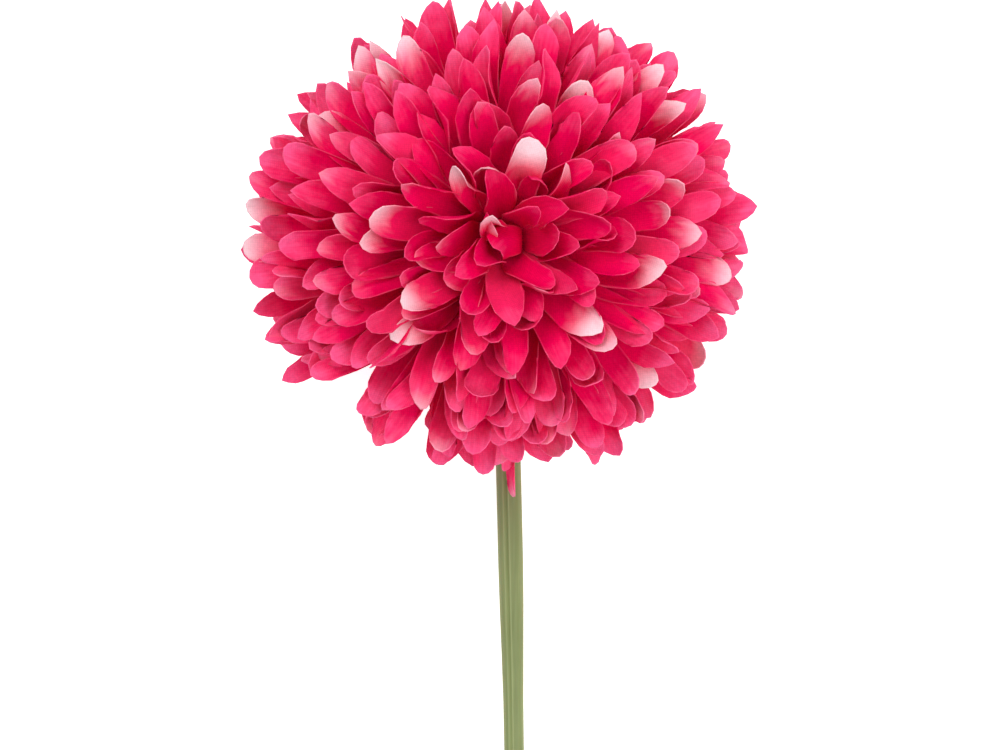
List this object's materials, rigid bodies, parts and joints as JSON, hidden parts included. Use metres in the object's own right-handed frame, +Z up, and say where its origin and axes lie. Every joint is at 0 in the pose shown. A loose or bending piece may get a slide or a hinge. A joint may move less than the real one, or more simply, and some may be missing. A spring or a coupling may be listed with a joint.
{
  "type": "artificial chrysanthemum stem",
  "caption": "Artificial pompon chrysanthemum with a domed head of layered cloth petals on a bent, wired plastic stem, lying down.",
  "frame": {"origin": "middle of the whole footprint, on the surface the flower lies on", "axes": "+Z up and out of the flower's face, -Y along the stem towards its cut end, +X to the right seen from above with the head at the top"},
  "size_m": [0.1386, 0.4382, 0.0837],
  "materials": {
    "petal_cloth": "dyed polyester cloth, heat formed, tips paler",
    "sheath_plastic": "satin ribbed olive green",
    "calyx_plastic": "satin moulded green",
    "pin_plastic": "moulded green",
    "wire_steel": "drawn wire, cut end"
  },
  "bodies": {
    "root": {"petal_layer_01": "petal_cloth", "petal_layer_02": "petal_cloth", "petal_layer_03": "petal_cloth", "petal_layer_04": "petal_cloth", "petal_layer_05": "petal_cloth", "petal_layer_06": "petal_cloth", "petal_layer_07": "petal_cloth", "petal_layer_08": "petal_cloth", "petal_layer_09": "petal_cloth", "petal_layer_10": "petal_cloth", "petal_layer_11": "petal_cloth", "petal_layer_12": "petal_cloth", "petal_layer_13": "petal_cloth", "petal_layer_14": "petal_cloth", "petal_layer_15": "petal_cloth", "petal_layer_16": "petal_cloth", "petal_layer_17": "petal_cloth", "petal_layer_18": "petal_cloth", "petal_layer_19": "petal_cloth", "petal_layer_20": "petal_cloth", "petal_layer_21": "petal_cloth", "petal_layer_22": "petal_cloth", "petal_layer_23": "petal_cloth", "petal_layer_24": "petal_cloth", "petal_layer_25": "petal_cloth", "petal_layer_26": "petal_cloth", "tier_spacer_1": "pin_plastic", "tier_spacer_2": "pin_plastic", "tier_spacer_3": "pin_plastic", "tier_spacer_4": "pin_plastic", "tier_spacer_5": "pin_plastic", "tier_spacer_6": "pin_plastic", "tier_spacer_7": "pin_plastic", "head_pin": "pin_plastic", "pin_cap": "pin_plastic", "calyx_cup": "calyx_plastic", "stem_sheath": "sheath_plastic", "stem_wire": "wire_steel"}
  },
  "joints": []
}
